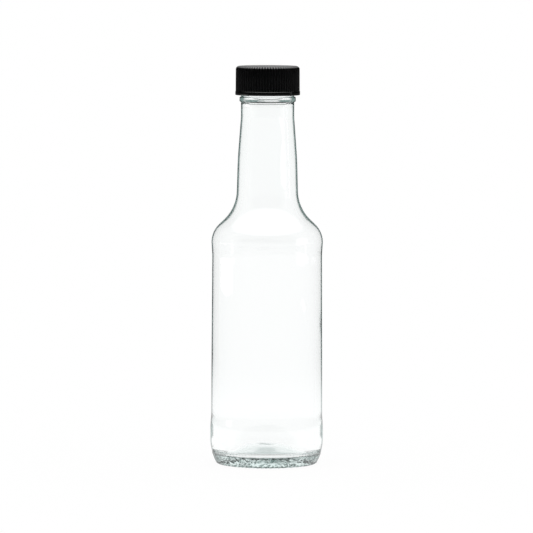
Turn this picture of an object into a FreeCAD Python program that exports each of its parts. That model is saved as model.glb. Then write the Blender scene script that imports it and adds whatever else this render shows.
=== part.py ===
"""Slim 125 ml sauce bottle of clear glass, closed by a ribbed black screw cap.

Millimetres, +Z up. The origin is the centre of the base, on the plane the bottle stands on.
Two pieces, each one solid: the hollow glass bottle and the hollow plastic cap, whose top rests on
the bottle's lip. Heights are counted from the table, and every "radius" from the bottle's axis.
"""

import FreeCAD
import Part

import math
import os

Vector = FreeCAD.Vector

# The whole, closed
total_height = 162.0
body_diameter = 46.0            # over the contact band above the heel, the widest place

# Body of the bottle
body_height = 94.4              # where the line of the shoulder meets the line of the wall
panel_recess = 0.35             # the label panel's foot lies this far inside the contact band
panel_taper = 0.35              # the panel narrows by this much in radius from its foot to its top
lower_band_top = 15.5
lower_fade = 4.5                # height in which the wall steps in from the band to the panel
upper_fade = 9.0                # height in which it widens again from the panel to the shoulder
shoulder_inset = 0.1            # the shoulder's line meets it this far inside the contact band
fade_round = 30.0
body_wall = 2.25                # glass behind the panel's foot

# Shoulder and neck
shoulder_angle = 46.0           # degrees between the shoulder's slope and the axis
shoulder_round = 10.0           # convex, body to shoulder
neck_sweep = 16.5               # concave, shoulder to neck
neck_root_diameter = 25.2
neck_top_diameter = 21.6        # also under the screw thread
neck_swell = 0.44               # how far the neck bulges out of a straight taper
neck_swell_place = 0.55         # share of the taper, counted from its root
neck_swell_round = 150.0
neck_straight = 6.4             # plain cylinder below the bead
neck_top_round = 12.0
shoulder_wall = 2.1
neck_wall = 2.3

# Mouth
bead_reach = 0.6                # ring below the cap, by which the bottle is carried when it is made
bead_height = 2.0
bead_round = 0.9
mouth_diameter = 15.4
mouth_depth = 13.0              # straight bore from the lip down
lip_round = 0.8
mouth_edge_round = 0.5
mouth_flare_round = 20.0

# Heel and base
heel_height = 5.1               # where the slope of the heel meets the line of the wall
heel_inset = 2.8                # how far the foot lies inside the contact band
heel_round = 21.0
foot_round = 1.0
foot_width = 1.65               # across the ring it stands on, its rounded edges included
foot_inner_round = 0.7
punt_rim_inset = 1.0            # from the foot's inner edge to the foot of the hollow under the base
punt_rim_height = 1.0
punt_rim_round = 1.5
punt_height = 5.0               # top of the hollow under the base
punt_crown = 8.5                # radius at which the hollow's slope would meet its level top
punt_round = 38.0
base_glass = 3.2                # thickness in the middle
floor_edge = 2.7                # where the line of the inner floor meets the line of the inner wall
floor_edge_round = 3.5
floor_crown = 10.0
floor_round = 39.0

# Cap
cap_height = 11.8
cap_top = 1.5                   # thickness of its top, the underside of which rests on the lip
cap_wall = 0.7                  # between the thread's room and the foot of the ribs
thread_depth = 0.9              # how far the bottle's screw thread stands out of the neck
thread_clearance = 0.2
cap_gap = 0.7                   # between the bead and the cap's lower edge
rib_count = 60
rib_depth = 0.35
rib_crest_share = 0.42          # of one rib's pitch
rib_foot_share = 0.74
cap_top_round = 1.4
cap_draft = 0.06                # the ribbed wall widens by this from its top to the band
band_height = 1.6               # the plain ring at the cap's lower edge
band_step = 0.2                 # the ring stands this far out of the ribs
band_round = 0.35
cap_mouth_round = 0.25
cap_inner_round = 0.6

touching = 1e-6                 # ends nearer than this are one point

# Worked out from the sizes above
band_radius = body_diameter / 2
panel_radius = band_radius - panel_recess
panel_top_radius = panel_radius - panel_taper
shoulder_radius = band_radius - shoulder_inset
inner_radius = panel_radius - body_wall
neck_root = neck_root_diameter / 2
neck_top = neck_top_diameter / 2
foot_radius = band_radius - heel_inset
foot_inner = foot_radius - foot_width
punt_rim = foot_inner - punt_rim_inset
floor_height = punt_height + base_glass
mouth_radius = mouth_diameter / 2
lip_height = total_height - cap_top
cap_bottom = total_height - cap_height
bead_top = cap_bottom - cap_gap
bead_bottom = bead_top - bead_height
taper_top = bead_bottom - neck_straight
cap_bore = neck_top + thread_depth + thread_clearance
rib_foot = cap_bore + cap_wall
rib_crest = rib_foot + rib_depth
band_outside = rib_crest + band_step
axis_radius = 0.0


def slope_height(radius, wall=0.0):
    """Height at which the shoulder's slope, or its inside at a wall's thickness, has this radius."""
    angle = math.radians(shoulder_angle)
    inward = wall / math.cos(angle)
    return body_height + (shoulder_radius - inward - radius) / math.tan(angle)


def corner_reaches(points, roundings):
    """How far each rounding reaches along its two runs, shortened where a run has no room for both."""
    count = len(points)
    reaches = []
    for index, rounding in enumerate(roundings):
        to_before = points[index - 1] - points[index]
        to_after = points[(index + 1) % count] - points[index]
        reaches.append(rounding / math.tan(to_before.getAngle(to_after) / 2))
    shares = [1.0] * count
    for index in range(count):
        following = (index + 1) % count
        run = (points[following] - points[index]).Length
        wanted = reaches[index] + reaches[following]
        if wanted > run:
            shares[index] = min(shares[index], run / wanted)
            shares[following] = min(shares[following], run / wanted)
    return [reach * share for reach, share in zip(reaches, shares)]


def rounding_arc(start, corner, end):
    """Arc that touches both runs of a corner, from one reach to the other."""
    to_start = start - corner
    to_end = end - corner
    half = to_start.getAngle(to_end) / 2
    radius = to_start.Length * math.tan(half)
    inward = (to_start + to_end).normalize()
    middle = corner + inward * (radius / math.sin(half) - radius)
    return Part.Arc(start, middle, end).toShape()


def rounded_outline(corners):
    """Closed wire in the XZ plane through (radius, height, rounding) corners."""
    points = [Vector(radius, 0, height) for radius, height, _ in corners]
    reaches = corner_reaches(points, [rounding for _, _, rounding in corners])
    starts = []
    ends = []
    for index, corner in enumerate(points):
        to_before = (points[index - 1] - corner).normalize()
        to_after = (points[(index + 1) % len(points)] - corner).normalize()
        starts.append(corner + to_before * reaches[index])
        ends.append(corner + to_after * reaches[index])
    edges = []
    for index, corner in enumerate(points):
        following = (index + 1) % len(points)
        if reaches[index] > 0:
            edges.append(rounding_arc(starts[index], corner, ends[index]))
        if (starts[following] - ends[index]).Length > touching:
            edges.append(Part.LineSegment(ends[index], starts[following]).toShape())
    return Part.Wire(edges)


def turned(corners):
    """Solid of revolution of a rounded outline about the bottle's axis."""
    face = Part.Face(rounded_outline(corners))
    return face.revolve(Vector(0, 0, 0), Vector(0, 0, 1), 360)


def outer_wall():
    """Corners of the bottle's outside, from the foot up to the lip."""
    taper_height = taper_top - slope_height(neck_root)
    swell_height = slope_height(neck_root) + neck_swell_place * taper_height
    swell_radius = neck_root + neck_swell_place * (neck_top - neck_root) + neck_swell
    bead_radius = neck_top + bead_reach
    return [
        (foot_radius, 0, foot_round),
        (band_radius, heel_height, heel_round),
        (band_radius, lower_band_top, fade_round),
        (panel_radius, lower_band_top + lower_fade, fade_round),
        (panel_top_radius, body_height - upper_fade, fade_round),
        (shoulder_radius, body_height, shoulder_round),
        (neck_root, slope_height(neck_root), neck_sweep),
        (swell_radius, swell_height, neck_swell_round),
        (neck_top, taper_top, neck_top_round),
        (neck_top, bead_bottom, 0),
        (bead_radius, bead_bottom, bead_round),
        (bead_radius, bead_top, bead_round),
        (neck_top, bead_top, 0),
        (neck_top, lip_height, lip_round),
    ]


def inner_wall():
    """Corners of the bottle's inside, from the mouth down to the middle of the floor."""
    inner_root = neck_root - neck_wall
    inner_root_height = slope_height(inner_root, shoulder_wall)
    return [
        (mouth_radius, lip_height, mouth_edge_round),
        (mouth_radius, lip_height - mouth_depth, mouth_flare_round),
        (inner_root, inner_root_height, neck_sweep + shoulder_wall),
        (inner_radius, slope_height(inner_radius, shoulder_wall), shoulder_round - shoulder_wall),
        (inner_radius, floor_edge, floor_edge_round),
        (floor_crown, floor_height, floor_round),
        (axis_radius, floor_height, 0),
    ]


def underside():
    """Corners of the hollow under the base, from its middle out to the ring the bottle stands on."""
    return [
        (axis_radius, punt_height, 0),
        (punt_crown, punt_height, punt_round),
        (punt_rim, punt_rim_height, punt_rim_round),
        (foot_inner, 0, foot_inner_round),
    ]


def make_bottle():
    """The glass: one hollow body turned from its outside, its inside and its underside."""
    return turned(outer_wall() + inner_wall() + underside())


def cap_blank(wall_radius, top_round, draft):
    """Plain turned cap, without its hollow, as wide as the ribs' crests or their feet."""
    return turned([
        (axis_radius, cap_bottom, 0),
        (wall_radius + draft, cap_bottom, 0),
        (wall_radius, total_height, top_round),
        (axis_radius, total_height, 0),
    ])


def rib_prism():
    """Star-shaped prism as tall as the cap: one bar for each rib, joined in the middle."""
    half_pitch = math.pi / rib_count
    inside = rib_foot - cap_top_round
    outside = rib_crest + 2 * cap_draft
    narrowing = (rib_foot_share - rib_crest_share) / rib_depth
    tip_share = rib_foot_share - narrowing * (outside - rib_foot)
    side = ((inside, rib_foot_share), (rib_foot, rib_foot_share), (outside, tip_share))
    points = []
    for rib in range(rib_count):
        middle = 2 * rib * half_pitch
        corners = [(radius, middle - share * half_pitch) for radius, share in side]
        corners += [(radius, middle + share * half_pitch) for radius, share in reversed(side)]
        for radius, angle in corners:
            points.append(Vector(radius * math.cos(angle), radius * math.sin(angle), cap_bottom))
    star = Part.Face(Part.makePolygon(points + points[:1]))
    return star.extrude(Vector(0, 0, cap_height))


def cap_band():
    """Corners of the plain ring at the cap's lower edge."""
    band_top = cap_bottom + band_height
    return turned([
        (axis_radius, cap_bottom, 0),
        (band_outside, cap_bottom, band_round),
        (band_outside, band_top, band_round),
        (axis_radius, band_top, 0),
    ])


def cap_hollow():
    """The room inside the cap, from below its lower edge up to the face that meets the lip."""
    lead = cap_mouth_round
    return turned([
        (axis_radius, cap_bottom - lead, 0),
        (cap_bore + 2 * lead, cap_bottom - lead, 0),
        (cap_bore, cap_bottom + lead, 0),
        (cap_bore, lip_height, cap_inner_round),
        (axis_radius, lip_height, 0),
    ])


def make_cap():
    """The plastic cap: a core, ribs that run over its rounded edge, a plain band, and the hollow."""
    ribs = cap_blank(rib_crest, cap_top_round, cap_draft).common(rib_prism())
    core = cap_blank(rib_foot, cap_top_round, cap_draft)
    solid = core.fuse([ribs, cap_band()]).removeSplitter()
    return solid.cut(cap_hollow()).Solids[0]


def main():
    os.makedirs("parts", exist_ok=True)
    make_bottle().exportStep("parts/bottle.step")
    make_cap().exportStep("parts/cap.step")


main()
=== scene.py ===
"""Slim sauce bottle of clear glass with a ribbed black screw cap, made around the packed model.

Metres, +Z up, the bottle's axis on Z and its foot on the plane Z = 0. The glass and the cap are each
drawn as half an outline, turned about the axis, and given what a lathe can't make: the beads under
the foot, the grain of the heel, the slight drift of the blown inside, and the ribs of the cap.
Painted shade darkens the glass along its outline and in marks at its heel and under its ring, standing
in for the dark surroundings seen through it.
"""

import math

import bmesh
import bpy
from mathutils import Euler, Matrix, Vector


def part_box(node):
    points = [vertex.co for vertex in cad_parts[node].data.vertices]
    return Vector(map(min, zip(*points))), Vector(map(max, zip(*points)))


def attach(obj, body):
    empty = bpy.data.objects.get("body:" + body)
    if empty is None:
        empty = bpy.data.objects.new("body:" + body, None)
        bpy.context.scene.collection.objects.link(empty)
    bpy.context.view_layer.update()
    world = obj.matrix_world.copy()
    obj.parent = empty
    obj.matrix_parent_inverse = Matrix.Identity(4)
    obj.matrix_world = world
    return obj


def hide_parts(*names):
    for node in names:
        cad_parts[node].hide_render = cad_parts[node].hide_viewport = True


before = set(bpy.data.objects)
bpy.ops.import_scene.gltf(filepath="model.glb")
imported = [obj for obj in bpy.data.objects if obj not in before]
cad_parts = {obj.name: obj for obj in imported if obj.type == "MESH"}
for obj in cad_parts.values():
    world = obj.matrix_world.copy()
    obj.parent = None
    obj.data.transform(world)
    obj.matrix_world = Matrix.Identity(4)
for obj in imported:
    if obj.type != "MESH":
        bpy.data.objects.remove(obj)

bl_info = {
    "name": "Sauce Bottle",
    "version": (1, 0, 0),
    "blender": (4, 5, 0),
    "location": "View3D > Sidebar > Bottle",
    "description": "Adds a clear glass sauce bottle with a ribbed screw cap, and its studio",
    "category": "Add Mesh",
}

MM = 0.001
FULL_TURN = 2 * math.pi
TOUCHING = 1e-6                     # points nearer than this are one
ARC_TURN = math.radians(5)          # turn of a wide rounding from one point to the next
ARC_CHORD = 0.25 * MM               # least length between the points of a narrow one
LONGEST_RUN = 5 * MM                # longer runs of an outline are divided
LEDGE_ANGLE = math.radians(65)      # sharper edges of the cap are shaded as edges

BEAD_SHAPE = 1.6                    # power by which the gaps between the foot's beads deepen
GRAIN_SPREAD = 0.2                  # evenness of the heel's grains
DRIFT_STEPS = (0.25, 0.5, 0.75, 1.0)
DRIFT_EDGE = 8 * MM                 # height in which the inside's drift sets in
DRIFT_STOP = 1.5                    # mouth depths from the lip down to the end of the drift
BODY_INSIDE = 0.3                   # shares of a wall's thickness that still count as its inside
NECK_INSIDE = 0.6

# Levels of a noise between which a mark on the glass fades in
SPECK_LEVELS = (0.52, 0.6)
PATCH_LEVELS = (0.45, 0.6)
STREAK_LEVELS = (0.35, 0.6)
RING_LEVELS = (0.35, 0.6)
CLOUD_LEVELS = (0.25, 0.75)         # the same for the plastic's roughness

# Shares of a pitch, counted from the middle of a gap between the foot's beads
GAP_SHARES = (0.15, 0.3)

# Brightness of the studio where it is not plain white, from 0 to 1 and more
WHITE_IN_GLASS = 1.04
ON_MATT = 1.05
TABLE_GLOW = 0.95                   # the rest of the table is matt paint, which takes the shadow
TABLE_PAINT = (0.95, 0.95, 0.95, 1)
FAR_TABLE_DARK = 0.98
GREY_IN_GLASS = (0.8, 1.0, 0.96, 1)

# Where the studio is lit in gloss: how far a ray points away from the camera, or up
REAR_WALL = (0.95, 0.995)
REAR_WALL_GLOSS = 0.5
CEILING = (0.6, 0.97)
CEILING_GLOSS = (0.01, 7.0)

# Where it is dark in the glass: towards the camera, overhead, and in the middle of the rear wall
FRONT_AHEAD = (-0.6, 0.0)
FRONT_RISE = (0.0, 0.3)
FRONT_DARK = (0.3, 0.9)
ABOVE_RISE = (0.55, 0.85)
ABOVE_DARK = 0.9
REAR_RISE = (0.24, 0.36)
REAR_ASIDE = (0.2, 0.4)
REAR_DARK = 0.3

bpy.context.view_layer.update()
glass_low, glass_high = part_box("bottle")
cap_low, cap_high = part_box("cap")


def length(name, description, default):
    """A size that a user can change, in metres."""
    return bpy.props.FloatProperty(
        name=name, description=description, default=default,
        unit="LENGTH", subtype="DISTANCE", precision=5,
    )


def number(name, description, default):
    """A plain number that a user can change."""
    return bpy.props.FloatProperty(name=name, description=description, default=default, precision=4)


def count(name, description, default):
    """A whole number that a user can change."""
    return bpy.props.IntProperty(name=name, description=description, default=default, min=1)


def angle(name, description, degrees):
    """An angle that a user can change."""
    return bpy.props.FloatProperty(
        name=name, description=description, default=math.radians(degrees),
        unit="ROTATION", subtype="ANGLE",
    )


def colour(name, description, default):
    """A colour that a user can change."""
    return bpy.props.FloatVectorProperty(
        name=name, description=description, default=default, size=3, subtype="COLOR", min=0, max=1,
    )


class GlassSettings(bpy.types.PropertyGroup):
    """Sizes and finish of the glass bottle."""

    body_radius: length("Body Radius", "Over the contact band above the heel", glass_high.x)
    lip_height: length("Lip Height", "Top of the glass", glass_high.z)
    body_height: length("Body Height", "Where the shoulder's line meets the wall's", 94.4 * MM)
    panel_recess: length("Panel Recess", "From the band in to the panel's foot", 0.35 * MM)
    panel_taper: length("Panel Taper", "From the panel's foot in to its top", 0.35 * MM)
    lower_band_top: length("Lower Band Top", "Height of the contact band", 15.5 * MM)
    lower_fade: length("Lower Fade", "Height of the step from band to panel", 4.5 * MM)
    upper_fade: length("Upper Fade", "Height in which the panel widens to the shoulder", 9 * MM)
    shoulder_inset: length("Shoulder Inset", "From the band in to the shoulder's line", 0.1 * MM)
    fade_round: length("Fade Rounding", "Rounding of the panel's ends", 30 * MM)
    body_wall: length("Body Wall", "Glass behind the panel's foot", 2.25 * MM)

    shoulder_angle: angle("Shoulder Angle", "Between the shoulder's slope and the axis", 46)
    shoulder_round: length("Shoulder Rounding", "Body to shoulder", 10 * MM)
    shoulder_wall: length("Shoulder Wall", "Glass in the shoulder", 2.1 * MM)
    neck_sweep: length("Neck Sweep", "Rounding from shoulder to neck", 16.5 * MM)
    neck_root: length("Neck Root", "Radius of the neck above the shoulder", 12.6 * MM)
    neck_top: length("Neck Top", "Radius of the neck below the bead", 10.8 * MM)
    neck_swell: length("Neck Swell", "How far the neck bulges out of a taper", 0.44 * MM)
    neck_swell_place: number("Swell Place", "Share of the taper, from its root", 0.55)
    neck_swell_round: length("Swell Rounding", "Curve of the bulge", 150 * MM)
    neck_straight: length("Straight Neck", "Plain cylinder below the bead", 6.4 * MM)
    neck_top_round: length("Neck Top Rounding", "Taper to cylinder", 12 * MM)
    neck_wall: length("Neck Wall", "Glass in the neck", 2.3 * MM)

    bead_reach: length("Bead Reach", "How far the ring stands out of the neck", 0.6 * MM)
    bead_height: length("Bead Height", "Height of the ring below the cap", 2 * MM)
    bead_round: length("Bead Rounding", "Edges of the ring", 0.9 * MM)
    bead_fillet: length("Bead Fillet", "Hollow rounding from the ring to the neck", 0.8 * MM)
    bead_gap: length("Bead Gap", "From the ring up to the cap", 0.7 * MM)
    mouth_radius: length("Mouth Radius", "Bore of the mouth", 7.7 * MM)
    mouth_depth: length("Mouth Depth", "Straight bore below the lip", 13 * MM)
    mouth_flare: length("Mouth Flare", "Rounding from bore to neck", 20 * MM)
    lip_round: length("Lip Rounding", "Outer edge of the lip", 0.8 * MM)
    mouth_round: length("Mouth Rounding", "Inner edge of the lip", 0.5 * MM)

    heel_height: length("Heel Height", "Where the heel's slope meets the wall", 5.1 * MM)
    heel_inset: length("Heel Inset", "How far the foot lies inside the band", 2.8 * MM)
    heel_round: length("Heel Rounding", "Curve of the heel", 21 * MM)
    seam_height: length("Seam Height", "Height of the mould's line round the heel", 4.9 * MM)
    seam_reach: length("Seam Reach", "How far that line stands out", 0.1 * MM)
    seam_width: length("Seam Width", "Height of that line", 0.36 * MM)
    grain: length("Heel Grain", "Unevenness of the stippled heel", 0.1 * MM)
    grain_size: length("Grain Size", "Height of one of its grains", 0.6 * MM)
    foot_round: length("Foot Rounding", "Outer edge of the foot", 1 * MM)
    foot_width: length("Foot Width", "Across the ring it stands on", 1.65 * MM)
    foot_inner_round: length("Inner Foot Rounding", "Inner edge of the foot", 0.7 * MM)
    foot_beads: count("Foot Beads", "Beads round the foot", 72)
    foot_gap: length("Foot Gaps", "Depth of the gaps between the beads", 0.34 * MM)
    punt_inset: length("Punt Inset", "From the foot to the hollow's foot", 1 * MM)
    punt_rim: length("Punt Rim", "Height of the hollow's foot", 1 * MM)
    punt_rim_round: length("Punt Rim Rounding", "Foot of the hollow", 1.5 * MM)
    punt_height: length("Punt Height", "Top of the hollow under the base", 5 * MM)
    punt_crown: length("Punt Crown", "Radius of the hollow's level top", 8.5 * MM)
    punt_round: length("Punt Rounding", "Curve of the hollow", 38 * MM)
    base_glass: length("Base Glass", "Thickness in the middle", 3.2 * MM)
    floor_edge: length("Floor Edge", "Where floor and inner wall would meet", 2.7 * MM)
    floor_edge_round: length("Floor Edge Rounding", "Inner corner of the base", 3.5 * MM)
    floor_crown: length("Floor Crown", "Radius of the floor's level middle", 10 * MM)
    floor_round: length("Floor Rounding", "Curve of the inner floor", 39 * MM)

    columns_per_bead: count("Columns per Bead", "Faces round the bottle for each bead", 6)
    drift: length("Inside Drift", "Unevenness of the blown inside", 0.22 * MM)
    drift_scale: length("Drift Scale", "Size of its swellings", 16 * MM)

    tint: colour("Glass Tint", "What a metre of the glass lets through", (0.84, 0.93, 0.918))
    tint_density: number("Tint Density", "Strength of the tint, per metre", 32.0)
    refraction: number("Refraction", "Index of refraction of soda-lime glass", 1.5)

class MarkSettings(bpy.types.PropertyGroup):
    """Painted shade of the glass: its dark outline, and the dark marks at its heel and under its ring.
    """

    # Colour of the painted shade, mixed into the glass's base colour
    dark: colour("Dark", "What a mark lets through", (0.06, 0.10, 0.092))
    # The dark outline is painted shade, standing in for the dark surroundings that the glass's edge
    # refracts and reflects
    rim_soft: number("Rim Softness", "Facing's distance from 1 where the dark outline begins", 0.25)
    rim_full: number("Rim Core", "Facing's distance from 1 where it is full", 0.17)
    rim_share: number("Rim Share", "Share of a reach in which an added width is full", 0.4)
    neck_rim: number("Neck Rim", "How much wider the outline is up the neck", 1.7)
    ring_rim: number("Ring Rim", "How much is added to its width at the ring below the cap", 1.1)
    band_rim: number("Band Rim", "How much is added to its width at the contact band", 0.5)
    band_middle: length("Band Middle", "Middle of the contact band", 14 * MM)
    band_reach: length("Band Reach", "How far from that middle it is wider", 4 * MM)
    seam_rim: number("Seam Rim", "How much is added to its width above the heel's seam", 0.7)
    seam_above: length("Above Seam", "Height of that place above the seam", 0.6 * MM)
    seam_reach: length("Seam Rim Reach", "How far from that place it is wider", 1 * MM)
    heel_rim: number("Heel Rim", "How much its width loses down the heel", 0.7)
    heel_reach: length("Heel Rim Reach", "How far from the heel's middle it is narrower", 2.4 * MM)

    # Painted shade at the heel: specks, patches, streaks, the dark line below the seam and the dark gaps
    # of the foot stand in for the dark surroundings refracted through the stippled heel
    speck_scale: number("Speck Scale", "Grains of the heel, per metre", 1200)
    speck_dark: number("Speck Depth", "How dark the specks are", 0.9)
    patch_scale: number("Patch Scale", "Dark patches under the seam, per metre", 110)
    patch_least: number("Patch Least", "How dark it is between the patches", 0.15)
    patch_reach: length("Patch Reach", "How far below the seam the patches reach", 3.2 * MM)
    patch_fade: length("Patch Fade", "Height in which they fade out", 1 * MM)
    patch_below: number("Patch Below", "What is left of them below that", 0.1)
    streak_scale: number("Streak Scale", "Streaks within the patches, per metre", 900)
    streak_least: number("Streak Least", "How dark the patches are between the streaks", 0.35)
    seam_fade: length("Seam Fade", "Height in which the heel's marks begin", 0.3 * MM)
    step_below: length("Step Below", "Height of the dark line below the seam's middle", 0.45 * MM)
    step_core: length("Step Core", "Half height of that line where it is full", 0.1 * MM)
    step_reach: length("Step Reach", "Half height of that line", 0.3 * MM)
    step_dark: number("Step Depth", "How dark that line is", 0.8)
    gap_height: length("Gap Height", "Height of the dark gaps between the foot's beads", 0.8 * MM)
    gap_fade: length("Gap Fade", "Height in which they fade out", 0.6 * MM)
    gap_dark: number("Gap Depth", "How dark they are", 0.95)
    # The ring's dark line is painted shade
    ring_line: number("Ring Line", "Place of the dark line on the ring, as a share down it", 0.7)
    ring_core: length("Ring Line Core", "Half height of that line where it is full", 0.35 * MM)
    ring_reach: length("Ring Line Reach", "Half height of that line", 0.7 * MM)
    ring_least: number("Ring Line Least", "How dark that line is where it is faintest", 0.4)


class CapSettings(bpy.types.PropertyGroup):
    """Sizes and finish of the screw cap."""

    band_radius: length("Band Radius", "Over the plain ring at the lower edge", cap_high.x)
    bottom: length("Bottom", "Height of the lower edge", cap_low.z)
    top: length("Top", "Height of the top", cap_high.z)
    seat: length("Seat", "Height of the face that meets the lip", glass_high.z)
    band_height: length("Band Height", "Height of the plain ring", 1.6 * MM)
    band_step: length("Band Step", "How far the ring stands out of the ribs", 0.2 * MM)
    band_round: length("Band Rounding", "Edges of the ring", 0.35 * MM)
    draft: length("Draft", "Widening of the wall towards the ring", 0.06 * MM)
    ribs: count("Ribs", "Ribs round the cap", 70)
    columns_per_rib: count("Columns per Rib", "Faces round the cap for each rib", 8)
    rib_depth: length("Rib Depth", "From the ribs' crests to their feet", 0.35 * MM)
    crest_share: number("Crest Share", "Crest's share of one rib's pitch", 0.42)
    foot_share: number("Foot Share", "Foot's share of one rib's pitch", 0.74)
    top_round: length("Top Rounding", "Outer edge of the top", 1.4 * MM)
    wall: length("Wall", "Between the thread's room and the ribs' feet", 0.7 * MM)
    inner_round: length("Inner Rounding", "Corner of the hollow", 0.6 * MM)
    lead: length("Lead", "Bevel of the hollow's lower edge", 0.25 * MM)

    plastic: colour("Plastic", "Black plastic", (0.002, 0.002, 0.0022))
    shine: number("Shine", "Specular level of the plastic under its gloss", 0.1)
    coat: number("Gloss", "Weight of the gloss on the ribs' crests", 0.8)
    coat_roughness: number("Gloss Roughness", "Roughness of the gloss on the ribs' crests", 0.08)
    cloud_scale: number("Cloud Scale", "Changes of the plastic's roughness, per metre", 350)
    smoothest: number("Least Roughness", "Roughness of the plastic where it is smoothest", 0.3)
    roughest: number("Most Roughness", "Roughness of the plastic where it is roughest", 0.4)
    grain_scale: number("Grain Scale", "Grains of the moulding, per metre", 4000)
    grain_height: length("Grain Height", "Height of those grains", 0.02 * MM)
    grain_strength: number("Grain Strength", "How strongly they show", 0.12)


class StageSettings(bpy.types.PropertyGroup):
    """Camera, lamps and background."""

    distance: length("Camera Distance", "From the bottle's axis, along the table", 1.8)
    height: length("Camera Height", "Above the table", 0.219)
    aim_height: length("Aim Height", "Point of the axis in the middle of the view", 0.0804)
    aside: length("Camera Aside", "To the right of the bottle's axis", -0.0013)
    aim_aside: length("Aim Aside", "Aim, to the right of the bottle's axis", -0.00025)
    roll: angle("Roll", "Turn of the camera about its view", 0.18)
    lens: number("Lens", "Focal length in millimetres", 299.6)
    floor_radius: length("Floor Radius", "Size of the table's round top", 20)
    near_floor: length("Near Floor", "Up to here the table is white in gloss", 0.15)
    far_floor: length("Far Floor", "From here on it is dark in gloss", 0.5)
    shade: number("Shade", "How much darker the table is under the bottle, through its glass", 0.3)
    shade_inner: length("Inner Shade", "Radius of the full shade", 7 * MM)
    shade_outer: length("Outer Shade", "Where the shade ends", 21 * MM)


SETTINGS = {
    "bottle_glass": GlassSettings,
    "bottle_marks": MarkSettings,
    "bottle_cap": CapSettings,
    "bottle_stage": StageSettings,
}


# Modelling

def select_points(piece, wanted):
    """In edit mode, selects the points that pass the test, with the edges and faces they share."""
    mesh = bmesh.from_edit_mesh(piece.data)
    for item in (*mesh.faces, *mesh.edges, *mesh.verts):
        item.select = False
    for point in mesh.verts:
        point.select = wanted(point.co, point.normal)
    mesh.select_flush_mode()
    bmesh.update_edit_mesh(piece.data)


def corner_turns(corners):
    """Turn of the outline at each of its inner corners, and how far each rounding reaches."""
    places = [Vector((radius, 0, height)) for radius, height, _ in corners]
    turns = [0.0] * len(corners)
    reaches = [0.0] * len(corners)
    for index in range(1, len(corners) - 1):
        arriving = places[index] - places[index - 1]
        leaving = places[index + 1] - places[index]
        turns[index] = arriving.angle(leaving)
        reaches[index] = corners[index][2] * math.tan(turns[index] / 2)
    shares = [1.0] * len(corners)
    for index in range(len(corners) - 1):
        run = (places[index + 1] - places[index]).length
        wanted = reaches[index] + reaches[index + 1]
        if wanted > run:
            shares[index] = min(shares[index], run / wanted)
            shares[index + 1] = min(shares[index + 1], run / wanted)
    return places, turns, [reach * share for reach, share in zip(reaches, shares)]


def draw_outline(name, corners):
    """A new piece in edit mode: a wire through (radius, height, rounding) corners, each rounded."""
    places, turns, reaches = corner_turns(corners)
    bpy.ops.object.select_all(action="DESELECT")
    bpy.ops.mesh.primitive_plane_add(size=MM, location=(0, 0, 0))
    piece = bpy.context.object
    piece.name = name
    piece.data.name = name
    bpy.ops.object.mode_set(mode="EDIT")
    bpy.ops.mesh.select_mode(type="VERT")
    bpy.ops.mesh.merge(type="CENTER")
    bpy.ops.transform.translate(value=places[0])
    for before, after in zip(places, places[1:]):
        bpy.ops.mesh.extrude_vertices_move(TRANSFORM_OT_translate={"value": after - before})
    for place, turn, reach in zip(places, turns, reaches):
        if reach > TOUCHING:
            select_points(piece, lambda point, _: (point - place).length < TOUCHING)
            arc = turn * reach / math.tan(turn / 2)
            flatness = math.tan(turn / 4) / (2 * math.sin(turn / 2))
            bpy.ops.mesh.bevel(
                offset=reach, segments=math.ceil(min(turn / ARC_TURN, arc / ARC_CHORD)) + 1,
                profile=(1 - flatness) ** 2, affect="VERTICES", clamp_overlap=False,
            )
    return piece


def divide_runs(piece, longest, where=lambda place: True):
    """Divides the wire's runs until none is longer than this where its middle passes the test."""
    while True:
        mesh = bmesh.from_edit_mesh(piece.data)
        chosen = 0
        for edge in mesh.edges:
            middle = (edge.verts[0].co + edge.verts[1].co) / 2
            edge.select_set(edge.calc_length() > longest and where(middle))
            chosen += edge.select
        bmesh.update_edit_mesh(piece.data)
        if not chosen:
            return
        bpy.ops.mesh.subdivide(number_cuts=1)


def turn_outline(piece, columns):
    """Turns the wire about the axis into a closed surface that faces outwards."""
    bpy.ops.object.mode_set(mode="OBJECT")
    bpy.ops.object.modifier_add(type="SCREW")
    lathe = piece.modifiers[-1]
    lathe.steps = columns
    lathe.render_steps = columns
    bpy.ops.object.modifier_apply(modifier=lathe.name)
    bpy.ops.object.mode_set(mode="EDIT")
    bpy.ops.mesh.select_all(action="SELECT")
    bpy.ops.mesh.remove_doubles(threshold=TOUCHING)
    bpy.ops.mesh.normals_make_consistent(inside=False)


def radius_of(place):
    """Distance of a point from the bottle's axis."""
    return math.hypot(place.x, place.y)


def phase_of(place, repeats):
    """How far a point is from the middle of the nearest repeat: 0 there, 1 half way between two."""
    share = math.atan2(place.y, place.x) / FULL_TURN * repeats
    return 2 * abs(share - round(share))


def finish_piece(piece, node, material):
    """Leaves edit mode, smooths the piece, and lets it stand for its CAD node."""
    bpy.ops.object.mode_set(mode="OBJECT")
    bpy.ops.object.shade_smooth()
    piece.data.materials.append(material)
    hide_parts(node)
    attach(piece, "root")


# Shader nodes

class Value:
    """A shader socket whose arithmetic adds Math nodes."""

    def __init__(self, nodes, socket):
        self.nodes = nodes
        self.socket = socket

    def __add__(self, other):
        return self.nodes.maths("ADD", self, other)

    def __sub__(self, other):
        return self.nodes.maths("SUBTRACT", self, other)

    def __mul__(self, other):
        return self.nodes.maths("MULTIPLY", self, other)

    def __rsub__(self, other):
        return self.nodes.maths("SUBTRACT", other, self)

    def __gt__(self, other):
        return self.nodes.maths("GREATER_THAN", self, other)

    def turn_from(self, across):
        """Turn about the axis, in whole turns, of the point with this and that coordinate."""
        return self.nodes.maths("ARCTAN2", self, across) * (1 / FULL_TURN)

    __radd__ = __add__
    __rmul__ = __mul__


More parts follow.
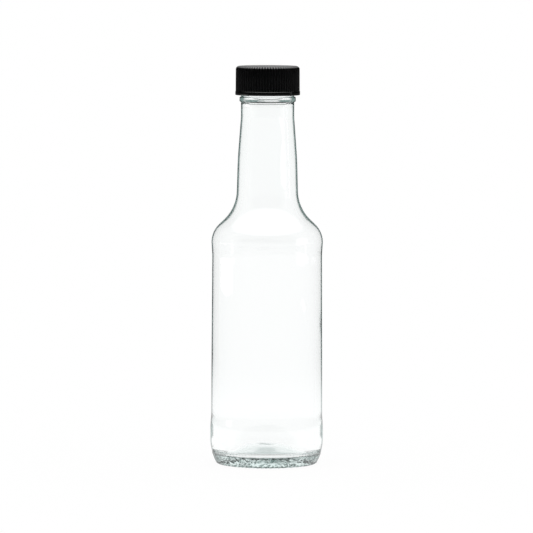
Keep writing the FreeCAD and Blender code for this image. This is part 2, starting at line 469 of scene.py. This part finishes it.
class Nodes:
    """The node tree of a material or world, emptied and ready to be filled."""

    def __init__(self, owner):
        owner.use_nodes = True
        self.tree = owner.node_tree
        self.tree.nodes.clear()

    def add(self, kind, settings=None, inputs=None):
        """Adds a node, sets its settings first, then the values or links of its sockets."""
        node = self.tree.nodes.new(kind)
        for name, value in (settings or {}).items():
            setattr(node, name, value)
        for name, value in (inputs or {}).items():
            if isinstance(value, Value):
                self.tree.links.new(value.socket, node.inputs[name])
            else:
                node.inputs[name].default_value = value
        return node

    def value(self, node, output):
        return Value(self, node.outputs[output])

    def maths(self, operation, first, second):
        node = self.add("ShaderNodeMath", {"operation": operation}, {0: first, 1: second})
        return self.value(node, 0)

    def smooth_step(self, value, low, high, at_low=0.0, at_high=1.0):
        """Runs smoothly from one level to another as the value goes from low to high."""
        inputs = {"Value": value, "From Min": low, "From Max": high, "To Min": at_low, "To Max": at_high}
        node = self.add("ShaderNodeMapRange", {"interpolation_type": "SMOOTHSTEP"}, inputs)
        return self.value(node, 0)

    def larger(self, first, second):
        return self.maths("MAXIMUM", first, second)

    def near(self, value, middle, core, reach, at_middle):
        """One level within a core about a middle, which fades to 0 at the reach."""
        away = self.maths("ABSOLUTE", value - middle, 0)
        return self.smooth_step(away, core, reach, at_middle, 0.0)

    def noise(self, place, scale, detail):
        node = self.add("ShaderNodeTexNoise", None, {"Vector": place, "Scale": scale, "Detail": detail})
        return self.value(node, 0)

    def light_path(self):
        node = self.add("ShaderNodeLightPath")
        return lambda output: self.value(node, output)

    def end(self, kind, surface, volume=None):
        inputs = {"Surface": surface}
        if volume:
            inputs["Volume"] = volume
        self.add(kind, None, inputs)


def new_material(name):
    material = bpy.data.materials.new(name)
    return material, Nodes(material)


def outline_width(nodes, glass, marks, height):
    """How wide the painted dark outline is: wider up the neck, at the ring, the contact band and the
    seam.
    """
    ring = cap_low.z - glass.bead_gap - glass.bead_height / 2
    root = shoulder_line(glass, glass.neck_root)
    width = nodes.smooth_step(height, glass.body_height, root, 1.0, marks.neck_rim)
    for middle, reach, added in (
        (ring, glass.bead_height, marks.ring_rim),
        (marks.band_middle, marks.band_reach, marks.band_rim),
        (glass.seam_height + marks.seam_above, marks.seam_reach, marks.seam_rim),
        (glass.seam_height / 2, marks.heel_reach, -marks.heel_rim),
    ):
        width = width + nodes.near(height, middle, marks.rim_share * reach, reach, added)
    return width


def heel_painted_shade(nodes, glass, marks, place, patch):
    """Painted shade at the heel: specks and patches under the seam, the dark line along it, and the dark
    gaps between the foot's beads.
    """
    parts = nodes.add("ShaderNodeSeparateXYZ", None, {0: place})
    height = nodes.value(parts, "Z")
    seam = glass.seam_height
    patch_end = seam - marks.patch_reach
    speck = nodes.noise(place, marks.speck_scale, detail=0.0)
    streak = nodes.noise(place, marks.streak_scale, detail=2.0)
    specks = nodes.smooth_step(speck, *SPECK_LEVELS, 0.0, marks.speck_dark)
    streaks = nodes.smooth_step(streak, *STREAK_LEVELS, marks.streak_least, 1.0)
    patches = nodes.smooth_step(patch, *PATCH_LEVELS, marks.patch_least, 1.0) * streaks
    upper = nodes.smooth_step(height, patch_end, patch_end + marks.patch_fade, marks.patch_below, 1.0)

    turn = nodes.value(parts, "Y").turn_from(nodes.value(parts, "X")) * glass.foot_beads
    foot = nodes.smooth_step(height, marks.gap_height, marks.gap_height + marks.gap_fade, 1.0, 0.0)
    gaps = foot * nodes.near(nodes.maths("FRACT", turn, 0), 0.5, *GAP_SHARES, marks.gap_dark)

    below_seam = nodes.smooth_step(height, seam - marks.seam_fade, seam, 1.0, 0.0)
    # Painted shade of the heel below the seam: specks, patches and the dark gaps of the foot
    grain = nodes.larger(nodes.larger(specks, upper * patches), gaps) * below_seam
    step = nodes.near(
        height, seam - marks.step_below, marks.step_core, marks.step_reach, marks.step_dark,
    )
    return nodes.larger(grain, step)


def ring_painted_shade(nodes, glass, marks, height, patch):
    """Painted shade: the uneven dark line along the lower edge of the ring."""
    middle = cap_low.z - glass.bead_gap - marks.ring_line * glass.bead_height
    line = nodes.near(height, middle, marks.ring_core, marks.ring_reach, 1.0)
    return line * nodes.smooth_step(patch, *RING_LEVELS, marks.ring_least, 1.0)


def glass_material(glass, marks):
    """Clear glass, faintly green in its depth, with painted shade along its outline, at its heel and
    under its ring.
    """
    material, nodes = new_material("clear_glass")
    place = nodes.value(nodes.add("ShaderNodeTexCoord"), "Object")
    height = nodes.value(nodes.add("ShaderNodeSeparateXYZ", None, {0: place}), "Z")
    width = outline_width(nodes, glass, marks, height)
    facing = nodes.value(nodes.add("ShaderNodeLayerWeight", None, {"Blend": 0.5}), "Facing")
    # Painted shade: a dark outline where the glass is seen edge-on, standing in for the dark
    # surroundings that its edge refracts and reflects
    outline = nodes.smooth_step(facing, 1 - marks.rim_soft * width, 1 - marks.rim_full * width)
    patch = nodes.noise(place, marks.patch_scale, detail=2.0)
    # Painted shade at the heel and under the ring
    painted_heel_and_ring_shade = nodes.larger(
        heel_painted_shade(nodes, glass, marks, place, patch), ring_painted_shade(nodes, glass, marks, height, patch),
    )
    outside = nodes.value(nodes.add("ShaderNodeAttribute", {"attribute_name": "outside"}), "Fac")
    leaving = nodes.value(nodes.add("ShaderNodeNewGeometry"), "Backfacing")
    # The painted shade goes on the outer wall where a ray enters it, mixing the base colour from white
    # to the dark colour
    dark = outside * (1 - leaving) * nodes.larger(outline, painted_heel_and_ring_shade)
    painted_base_colour = nodes.add("ShaderNodeMix", {"data_type": "RGBA"}, {
        "Factor": dark, "A": (1, 1, 1, 1), "B": (*marks.dark, 1),
    })
    surface = nodes.add("ShaderNodeBsdfPrincipled", None, {
        "Base Color": nodes.value(painted_base_colour, "Result"),
        "Roughness": 0.0,
        "IOR": glass.refraction,
        "Transmission Weight": 1.0,
    })
    inside = nodes.add("ShaderNodeVolumeAbsorption", None, {
        "Color": (*glass.tint, 1), "Density": glass.tint_density,
    })
    nodes.end("ShaderNodeOutputMaterial", nodes.value(surface, 0), nodes.value(inside, 0))
    return material


def cap_material(cap):
    """Black moulded plastic with some grain, glossy on the ribs' crests; between them the gloss is taken
    out, as painted shade in the grooves.
    """
    material, nodes = new_material("black_plastic")
    place = nodes.value(nodes.add("ShaderNodeTexCoord"), "Object")
    parts = nodes.add("ShaderNodeSeparateXYZ", None, {0: place})
    turn = nodes.value(parts, "Y").turn_from(nodes.value(parts, "X")) * cap.ribs
    from_crest = 1 - 2 * nodes.maths("ABSOLUTE", nodes.maths("FRACT", turn, 0) - 0.5, 0)
    ledge = cap.bottom + cap.band_height
    between = nodes.smooth_step(from_crest, cap.crest_share, cap.foot_share)
    # Painted shade: the gloss is taken out of the grooves above the plain ring, to darken them as shade
    # would
    groove_shade = between * (nodes.value(parts, "Z") > ledge)
    bump = nodes.add("ShaderNodeBump", None, {
        "Strength": cap.grain_strength,
        "Distance": cap.grain_height,
        "Height": nodes.noise(place, cap.grain_scale, detail=1.0),
    })
    cloud = nodes.noise(place, cap.cloud_scale, detail=3.0)
    surface = nodes.add("ShaderNodeBsdfPrincipled", None, {
        "Base Color": (*cap.plastic, 1),
        "Roughness": nodes.smooth_step(cloud, *CLOUD_LEVELS, cap.smoothest, cap.roughest),
        "Specular IOR Level": cap.shine,
        "Coat Weight": cap.coat * (1 - groove_shade),
        "Coat Roughness": cap.coat_roughness,
        "Normal": nodes.value(bump, 0),
    })
    nodes.end("ShaderNodeOutputMaterial", nodes.value(surface, 0))
    return material


# The glass

def shoulder_line(glass, radius, wall=0.0):
    """Height of the shoulder's slope, or of its inside behind a wall, at a radius."""
    inward = wall / math.cos(glass.shoulder_angle)
    across = glass.body_radius - glass.shoulder_inset - inward - radius
    return glass.body_height + across / math.tan(glass.shoulder_angle)


def glass_corners(glass, cap_bottom):
    """Corners of the glass, from the middle of its underside over the lip to its inner floor."""
    band = glass.body_radius
    panel = band - glass.panel_recess
    shoulder = band - glass.shoulder_inset
    foot = band - glass.heel_inset
    foot_inner = foot - glass.foot_width
    bead_top = cap_bottom - glass.bead_gap
    bead_bottom = bead_top - glass.bead_height
    bead = glass.neck_top + glass.bead_reach
    taper_top = bead_bottom - glass.neck_straight
    root_height = shoulder_line(glass, glass.neck_root)
    swell = glass.neck_swell_place
    swell_radius = glass.neck_root + swell * (glass.neck_top - glass.neck_root) + glass.neck_swell
    inner = panel - glass.body_wall
    inner_root = glass.neck_root - glass.neck_wall
    floor = glass.punt_height + glass.base_glass
    underside = [
        (0, glass.punt_height, 0),
        (glass.punt_crown, glass.punt_height, glass.punt_round),
        (foot_inner - glass.punt_inset, glass.punt_rim, glass.punt_rim_round),
        (foot_inner, 0, glass.foot_inner_round),
    ]
    outside = [
        (foot, 0, glass.foot_round),
        (band, glass.heel_height, glass.heel_round),
        (band, glass.lower_band_top, glass.fade_round),
        (panel, glass.lower_band_top + glass.lower_fade, glass.fade_round),
        (panel - glass.panel_taper, glass.body_height - glass.upper_fade, glass.fade_round),
        (shoulder, glass.body_height, glass.shoulder_round),
        (glass.neck_root, root_height, glass.neck_sweep),
        (swell_radius, root_height + swell * (taper_top - root_height), glass.neck_swell_round),
        (glass.neck_top, taper_top, glass.neck_top_round),
        (glass.neck_top, bead_bottom, glass.bead_fillet),
        (bead, bead_bottom, glass.bead_round),
        (bead, bead_top, glass.bead_round),
        (glass.neck_top, bead_top, glass.bead_fillet),
        (glass.neck_top, glass.lip_height, glass.lip_round),
    ]
    inside = [
        (glass.mouth_radius, glass.lip_height, glass.mouth_round),
        (glass.mouth_radius, glass.lip_height - glass.mouth_depth, glass.mouth_flare),
        (inner_root, shoulder_line(glass, inner_root, glass.shoulder_wall),
         glass.neck_sweep + glass.shoulder_wall),
        (inner, shoulder_line(glass, inner, glass.shoulder_wall),
         glass.shoulder_round - glass.shoulder_wall),
        (inner, glass.floor_edge, glass.floor_edge_round),
        (glass.floor_crown, floor, glass.floor_round),
        (0, floor, 0),
    ]
    return underside + outside + inside


def draw_heel_seam(piece, glass):
    """Raises the fine line that the mould leaves round the top of the heel."""
    outer = glass.body_radius - glass.heel_inset
    for offset in (-glass.seam_width / 2, 0, glass.seam_width / 2):
        select_points(piece, lambda point, _: point.x > outer and point.z < glass.lower_band_top)
        bpy.ops.mesh.bisect(plane_co=(0, 0, glass.seam_height + offset), plane_no=(0, 0, 1))
    select_points(piece, lambda point, _: (
        point.x > outer and abs(point.z - glass.seam_height) < TOUCHING
    ))
    bpy.ops.transform.translate(value=(glass.seam_reach, 0, 0))


def press_foot_beads(piece, glass):
    """Lifts the foot's ring between the beads it stands on."""
    inner = glass.body_radius - glass.heel_inset - glass.foot_width - glass.punt_inset
    steps = glass.columns_per_bead // 2
    for step in range(1, steps + 1):
        phase = step / steps
        depth = glass.foot_gap * phase ** BEAD_SHAPE
        select_points(piece, lambda point, _: (
            point.z < depth and radius_of(point) > inner
            and abs(phase_of(point, glass.foot_beads) - phase) < 0.5 / steps
        ))
        bpy.ops.transform.resize(value=(1, 1, 0), center_override=(0, 0, depth))


def stipple_heel(piece, glass):
    """Gives the heel below the seam the uneven grain of its mould."""
    outer = glass.body_radius - glass.heel_inset
    top = glass.seam_height - glass.seam_width
    select_points(piece, lambda point, _: (
        glass.foot_gap < point.z < top and radius_of(point) > outer
    ))
    bpy.ops.transform.vertex_random(offset=glass.grain, uniform=GRAIN_SPREAD, normal=1.0, seed=3)


def drift_inside(piece, glass):
    """Lets the blown inside of the body and neck swell and thin a little, as it does in glass."""
    inner = glass.body_radius - glass.panel_recess - glass.body_wall
    low = glass.floor_edge + glass.floor_edge_round
    high = glass.lip_height - DRIFT_STOP * glass.mouth_depth
    root = shoulder_line(glass, glass.neck_root - glass.neck_wall, glass.shoulder_wall)

    def is_inside(point):
        radius = radius_of(point)
        if point.z < glass.body_height - glass.upper_fade / 2:
            return radius < inner + BODY_INSIDE * glass.body_wall
        if point.z > root:
            return radius < glass.neck_root - NECK_INSIDE * glass.neck_wall
        return point.z < shoulder_line(glass, radius, NECK_INSIDE * glass.shoulder_wall)

    bpy.ops.object.vertex_group_add()
    for share in DRIFT_STEPS:
        edge = DRIFT_EDGE * share
        select_points(piece, lambda point, _: low + edge < point.z < high - edge and is_inside(point))
        bpy.context.scene.tool_settings.vertex_group_weight = share
        bpy.ops.object.vertex_group_assign()
    bpy.ops.object.mode_set(mode="OBJECT")
    clouds = bpy.data.textures.new("glass_drift", "CLOUDS")
    clouds.noise_scale = glass.drift_scale
    clouds.noise_depth = 1
    bpy.ops.object.modifier_add(type="DISPLACE")
    swell = piece.modifiers[-1]
    swell.texture = clouds
    swell.texture_coords = "LOCAL"
    swell.strength = glass.drift
    swell.vertex_group = piece.vertex_groups.active.name
    bpy.ops.object.modifier_apply(modifier=swell.name)
    bpy.ops.object.vertex_group_remove(all=True)
    bpy.ops.object.mode_set(mode="EDIT")


def mark_outside(piece, glass):
    """Marks the points of the outer wall, so that the painted dark outline and marks fall on it alone.
    """
    bpy.ops.object.mode_set(mode="OBJECT")
    bpy.ops.geometry.attribute_add(name="outside", domain="POINT", data_type="FLOAT")
    bpy.ops.object.mode_set(mode="EDIT")
    floor = glass.punt_height + glass.base_glass
    foot = glass.body_radius - glass.heel_inset
    select_points(piece, lambda point, normal: (
        point.x * normal.x + point.y * normal.y > 0
        and (point.z > floor or radius_of(point) > foot - glass.foot_round)
    ))
    bpy.ops.mesh.attribute_set(value_float=1.0)


class BOTTLE_OT_glass(bpy.types.Operator):
    """Adds the hollow glass bottle"""
    bl_idname = "sauce_bottle.glass"
    bl_label = "Glass Bottle"

    def execute(self, context):
        glass = context.scene.bottle_glass
        piece = draw_outline("bottle_glass", glass_corners(glass, context.scene.bottle_cap.bottom))
        draw_heel_seam(piece, glass)
        outer = glass.body_radius - glass.heel_inset - glass.foot_width
        divide_runs(piece, glass.grain_size, lambda place: (
            place.x > outer and glass.foot_gap < place.z < glass.seam_height
        ))
        divide_runs(piece, LONGEST_RUN)
        turn_outline(piece, glass.foot_beads * glass.columns_per_bead)
        press_foot_beads(piece, glass)
        stipple_heel(piece, glass)
        drift_inside(piece, glass)
        mark_outside(piece, glass)
        finish_piece(piece, "bottle", glass_material(glass, context.scene.bottle_marks))
        return {"FINISHED"}


# The cap

def cap_corners(cap):
    """Corners of the cap at a rib's crest, from its inner top over the lower edge to its top."""
    crest = cap.band_radius - cap.band_step
    bore = crest - cap.rib_depth - cap.wall
    ledge = cap.bottom + cap.band_height
    return [
        (0, cap.seat, 0),
        (bore, cap.seat, cap.inner_round),
        (bore, cap.bottom + cap.lead, 0),
        (bore + cap.lead, cap.bottom, 0),
        (cap.band_radius, cap.bottom, cap.band_round),
        (cap.band_radius, ledge, cap.band_round),
        (crest + cap.draft, ledge, 0),
        (crest, cap.top, cap.top_round),
        (0, cap.top, 0),
    ]


def press_ribs(piece, cap):
    """Sinks the grooves between the ribs, from the plain ring up over the rounded edge."""
    crest = cap.band_radius - cap.band_step
    flat_top = crest - cap.top_round - TOUCHING
    ledge = cap.bottom + cap.band_height - TOUCHING
    steps = cap.columns_per_rib // 2
    for step in range(1, steps + 1):
        phase = step / steps
        share = min(1, max(0, (phase - cap.crest_share) / (cap.foot_share - cap.crest_share)))
        if share > 0:
            narrowing = 1 - share * cap.rib_depth / crest
            select_points(piece, lambda point, _: (
                point.z > ledge and flat_top < radius_of(point) < crest + 2 * cap.draft
                and abs(phase_of(point, cap.ribs) - phase) < 0.5 / steps
            ))
            bpy.ops.transform.resize(value=(narrowing, narrowing, 1), center_override=(0, 0, 0))


class BOTTLE_OT_cap(bpy.types.Operator):
    """Adds the ribbed screw cap"""
    bl_idname = "sauce_bottle.cap"
    bl_label = "Screw Cap"

    def execute(self, context):
        cap = context.scene.bottle_cap
        piece = draw_outline("screw_cap", cap_corners(cap))
        divide_runs(piece, LONGEST_RUN)
        turn_outline(piece, cap.ribs * cap.columns_per_rib)
        press_ribs(piece, cap)
        bpy.ops.mesh.select_all(action="DESELECT")
        bpy.ops.mesh.select_mode(type="EDGE")
        bpy.ops.mesh.edges_select_sharp(sharpness=LEDGE_ANGLE)
        bpy.ops.mesh.mark_sharp()
        finish_piece(piece, "cap", cap_material(cap))
        return {"FINISHED"}


# The stage

def floor_material(stage):
    """White table; through the glass it carries a painted shadow under the bottle, and in gloss it is
    dark further off.
    """
    material, nodes = new_material("white_table")
    ray = nodes.light_path()
    place = nodes.add("ShaderNodeNewGeometry")
    distance = nodes.value(nodes.add("ShaderNodeVectorMath", {"operation": "LENGTH"}, {
        0: nodes.value(place, "Position"),
    }), "Value")
    through = ray("Transmission Depth") > 0.5
    in_gloss = ray("Is Glossy Ray") * (1 - through)
    far = nodes.smooth_step(distance, stage.near_floor, stage.far_floor) * in_gloss
    # Painted shadow under the bottle, seen only through its glass
    under = nodes.smooth_step(distance, stage.shade_inner, stage.shade_outer, 1.0, 0.0) * through
    in_glass = 1 + through * (WHITE_IN_GLASS - 1)
    level = (1 - FAR_TABLE_DARK * far) * (1 - stage.shade * under) * in_glass
    glow = nodes.add("ShaderNodeEmission", None, {"Strength": level})
    seen = nodes.larger(ray("Is Camera Ray"), ray("Is Glossy Ray"))
    seen = nodes.larger(seen, ray("Is Transmission Ray"))
    paint = nodes.add("ShaderNodeBsdfDiffuse", None, {"Color": TABLE_PAINT})
    mixed = nodes.add("ShaderNodeMixShader", None, {
        0: seen * TABLE_GLOW, 1: nodes.value(paint, 0), 2: nodes.value(glow, 0),
    })
    nodes.end("ShaderNodeOutputMaterial", nodes.value(mixed, 0))
    return material


def add_floor(stage):
    """The round white table that the bottle stands on."""
    bpy.ops.object.select_all(action="DESELECT")
    bpy.ops.mesh.primitive_circle_add(vertices=96, radius=stage.floor_radius, fill_type="NGON")
    floor = bpy.context.object
    floor.name = "table"
    floor.data.materials.append(floor_material(stage))


def light_background():
    """White to the eye and low down in the glass, grey overhead and behind, and dark in gloss."""
    world = bpy.data.worlds.new("studio")
    bpy.context.scene.world = world
    nodes = Nodes(world)
    ray = nodes.light_path()
    direction = nodes.add("ShaderNodeSeparateXYZ", None, {
        0: nodes.value(nodes.add("ShaderNodeTexCoord"), "Generated"),
    })
    rise = nodes.value(direction, "Z")
    ahead = nodes.value(direction, "Y")
    aside = nodes.maths("ABSOLUTE", nodes.value(direction, "X"), 0)
    outer_gloss = ray("Is Glossy Ray") * (1 - (ray("Transmission Depth") > 0.5))
    through = 1 - ray("Is Camera Ray") - outer_gloss - ray("Is Diffuse Ray")
    behind = nodes.smooth_step(ahead, *REAR_WALL, 0.0, REAR_WALL_GLOSS)
    overhead = nodes.smooth_step(rise, *CEILING, *CEILING_GLOSS)
    in_gloss = (behind + overhead) * outer_gloss
    camera_side = nodes.smooth_step(ahead, *FRONT_AHEAD, 1.0, 0.0)
    dark_front = camera_side * nodes.smooth_step(rise, *FRONT_RISE, *FRONT_DARK)
    dark_above = nodes.smooth_step(rise, *ABOVE_RISE, 0.0, ABOVE_DARK)
    near_middle = nodes.smooth_step(aside, *REAR_ASIDE, 1.0, 0.0)
    dark_rear = near_middle * nodes.smooth_step(rise, *REAR_RISE, 0.0, REAR_DARK)
    dark = nodes.larger(dark_front, nodes.larger(dark_above, dark_rear))
    in_glass = (1 - dark) * through * WHITE_IN_GLASS
    level = ray("Is Camera Ray") + in_gloss + in_glass + ray("Is Diffuse Ray") * ON_MATT
    greenish = nodes.add("ShaderNodeMix", {"data_type": "RGBA"}, {
        "Factor": dark * through, "A": (1, 1, 1, 1), "B": GREY_IN_GLASS,
    })
    sky = nodes.add("ShaderNodeBackground", None, {
        "Color": nodes.value(greenish, "Result"), "Strength": level,
    })
    nodes.end("ShaderNodeOutputWorld", nodes.value(sky, 0))


def add_lamp(name, azimuth, distance, height, width, tall, power):
    """An upright soft box that faces the axis. Azimuth counts from the camera, left is negative."""
    across = math.radians(azimuth)
    place = Vector((distance * math.sin(across), -distance * math.cos(across), height))
    facing = Vector((-place.x, -place.y, 0)).to_track_quat("-Z", "Y").to_euler()
    bpy.ops.object.light_add(type="AREA", location=place, rotation=facing)
    lamp = bpy.context.object
    lamp.name = name
    lamp.data.shape = "RECTANGLE"
    lamp.data.size = width
    lamp.data.size_y = tall
    lamp.data.energy = power


def add_camera(stage):
    """A long lens, a little above the bottle."""
    place = Vector((stage.aside, -stage.distance, stage.height))
    aim = Vector((stage.aim_aside, 0, stage.aim_height))
    turned = (aim - place).to_track_quat("-Z", "Y").to_matrix()
    rolled = turned @ Euler((0, 0, stage.roll)).to_matrix()
    bpy.ops.object.camera_add(location=place, rotation=rolled.to_euler())
    camera = bpy.context.object
    camera.data.lens = stage.lens
    camera.data.clip_end = 100
    bpy.context.scene.camera = camera


class BOTTLE_OT_stage(bpy.types.Operator):
    """Adds the white table, the lamps and the camera"""
    bl_idname = "sauce_bottle.stage"
    bl_label = "Studio"

    def execute(self, context):
        stage = context.scene.bottle_stage
        add_floor(stage)
        light_background()
        add_lamp("soft_box", azimuth=-95, distance=0.9, height=0.022, width=0.6, tall=0.04, power=0.15)
        add_lamp("strip", azimuth=92, distance=0.9, height=0.2, width=0.05, tall=0.28, power=0.066)
        add_camera(stage)
        scene = context.scene
        scene.view_settings.view_transform = "Standard"
        scene.cycles.max_bounces = 32
        scene.cycles.transmission_bounces = 24
        scene.cycles.glossy_bounces = 12
        return {"FINISHED"}


class BOTTLE_PT_panel(bpy.types.Panel):
    """Everything that the bottle is made of"""
    bl_idname = "BOTTLE_PT_panel"
    bl_label = "Sauce Bottle"
    bl_space_type = "VIEW_3D"
    bl_region_type = "UI"
    bl_category = "Bottle"

    def draw(self, context):
        for operator in OPERATORS:
            self.layout.operator(operator.bl_idname)
        for name, settings in SETTINGS.items():
            box = self.layout.box()
            box.label(text=settings.__doc__)
            group = getattr(context.scene, name)
            for size in settings.__annotations__:
                box.prop(group, size)


OPERATORS = (BOTTLE_OT_glass, BOTTLE_OT_cap, BOTTLE_OT_stage)


def register():
    for group in (*SETTINGS.values(), *OPERATORS, BOTTLE_PT_panel):
        bpy.utils.register_class(group)
    for name, settings in SETTINGS.items():
        setattr(bpy.types.Scene, name, bpy.props.PointerProperty(type=settings))


def unregister():
    for name in SETTINGS:
        delattr(bpy.types.Scene, name)
    for group in (BOTTLE_PT_panel, *OPERATORS, *SETTINGS.values()):
        bpy.utils.unregister_class(group)


def main():
    register()
    bpy.ops.sauce_bottle.glass()
    bpy.ops.sauce_bottle.cap()
    bpy.ops.sauce_bottle.stage()


if __name__ == "__main__":
    main()
